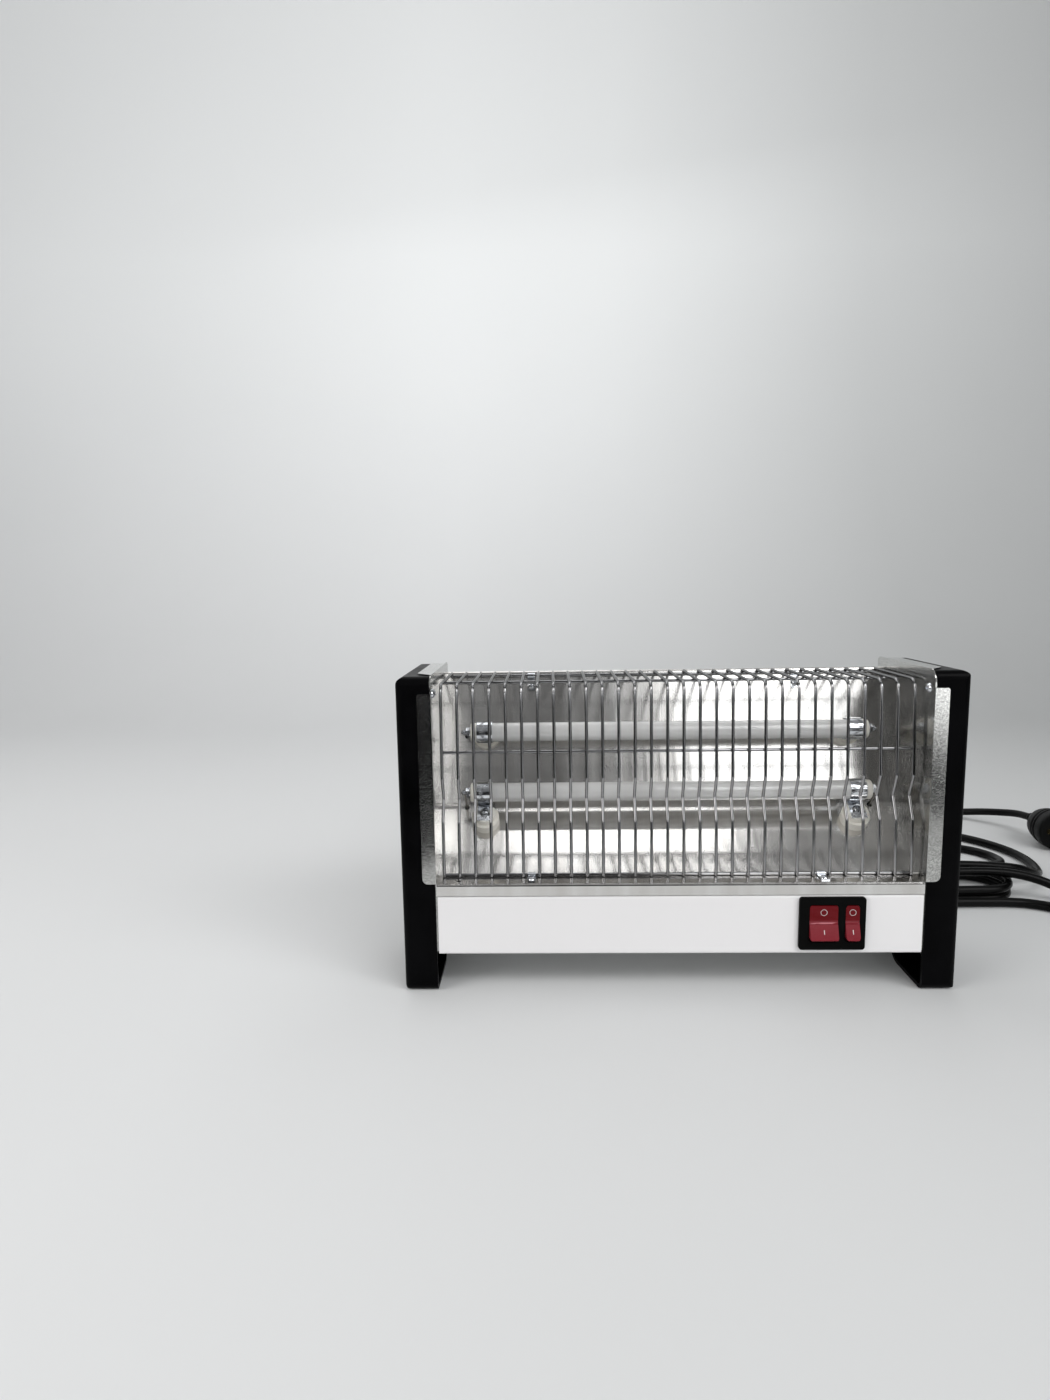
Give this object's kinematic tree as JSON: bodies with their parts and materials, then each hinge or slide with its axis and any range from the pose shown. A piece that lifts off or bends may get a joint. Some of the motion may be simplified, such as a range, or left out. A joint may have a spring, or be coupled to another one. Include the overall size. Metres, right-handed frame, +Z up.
{
  "type": "electric bar heater",
  "caption": "Compact bar heater: quartz tubes before a folded reflector, bent-wire guard, moulded end cheeks, twin rocker switch and coiled cord with plug.",
  "frame": {"origin": "on the floor, under the middle of the heater's own box, without its cord and plug", "axes": "+X along the width, to the right as seen from the front; the front faces -Y; +Z up"},
  "size_m": [0.576, 0.3997, 0.1988],
  "materials": {
    "black_plastic": "satin moulded",
    "galvanised": "galvanised sheet with fine spangle",
    "polished_sheet": "polished",
    "white_enamel": "semi-gloss enamel",
    "chrome_wire": "bright",
    "zinc_steel": "zinc plated",
    "frosted_quartz": "frosted",
    "ceramic": "unglazed",
    "nichrome": "dull",
    "brass": "plain",
    "red_rocker": "glossy, translucent",
    "black_switch": "satin",
    "cord_rubber": "satin"
  },
  "bodies": {
    "heater": {"left_cheek": "black_plastic", "right_cheek": "black_plastic", "left_end_plate": "galvanised", "right_end_plate": "galvanised", "cheek_screws": "zinc_steel", "reflector": "polished_sheet", "front_panel": "white_enamel", "base_plate": "galvanised", "back_cover": "galvanised", "cover_screws": "zinc_steel", "guard_wires": "chrome_wire", "guard_cross_wires": "chrome_wire", "guard_clips": "zinc_steel", "guard_screws": "zinc_steel", "upper_tube": "frosted_quartz", "lower_tube": "frosted_quartz", "upper_element": "nichrome", "lower_element": "nichrome", "tube_end_caps": "ceramic", "terminal_studs": "brass", "terminal_nuts": "zinc_steel", "upper_tube_clips": "zinc_steel", "lower_tube_clips": "zinc_steel", "ceramic_spacers": "ceramic", "clip_screws": "zinc_steel", "clip_nuts": "zinc_steel", "lead_wires": "nichrome", "switch_housing": "black_switch", "switch_terminals": "brass", "terminal_block": "ceramic", "cord_gland": "black_switch", "power_cord": "cord_rubber", "plug_cord": "cord_rubber", "cord_hank": "cord_rubber", "plug_body": "cord_rubber", "plug_pins": "brass"},
    "wide_rocker": {"rocker_wide": "red_rocker"},
    "narrow_rocker": {"rocker_narrow": "red_rocker"}
  },
  "joints": [
    {"name": "wide_rocker_tilt", "type": "hinge", "parent": "heater", "child": "wide_rocker", "pos_m": [0, -0.0418, 0.0442], "axis": [1, 0, 0], "range_deg": [0, 20]},
    {"name": "narrow_rocker_tilt", "type": "hinge", "parent": "heater", "child": "narrow_rocker", "pos_m": [0, -0.0418, 0.0442], "axis": [1, 0, 0], "range_deg": [0, 20]}
  ]
}
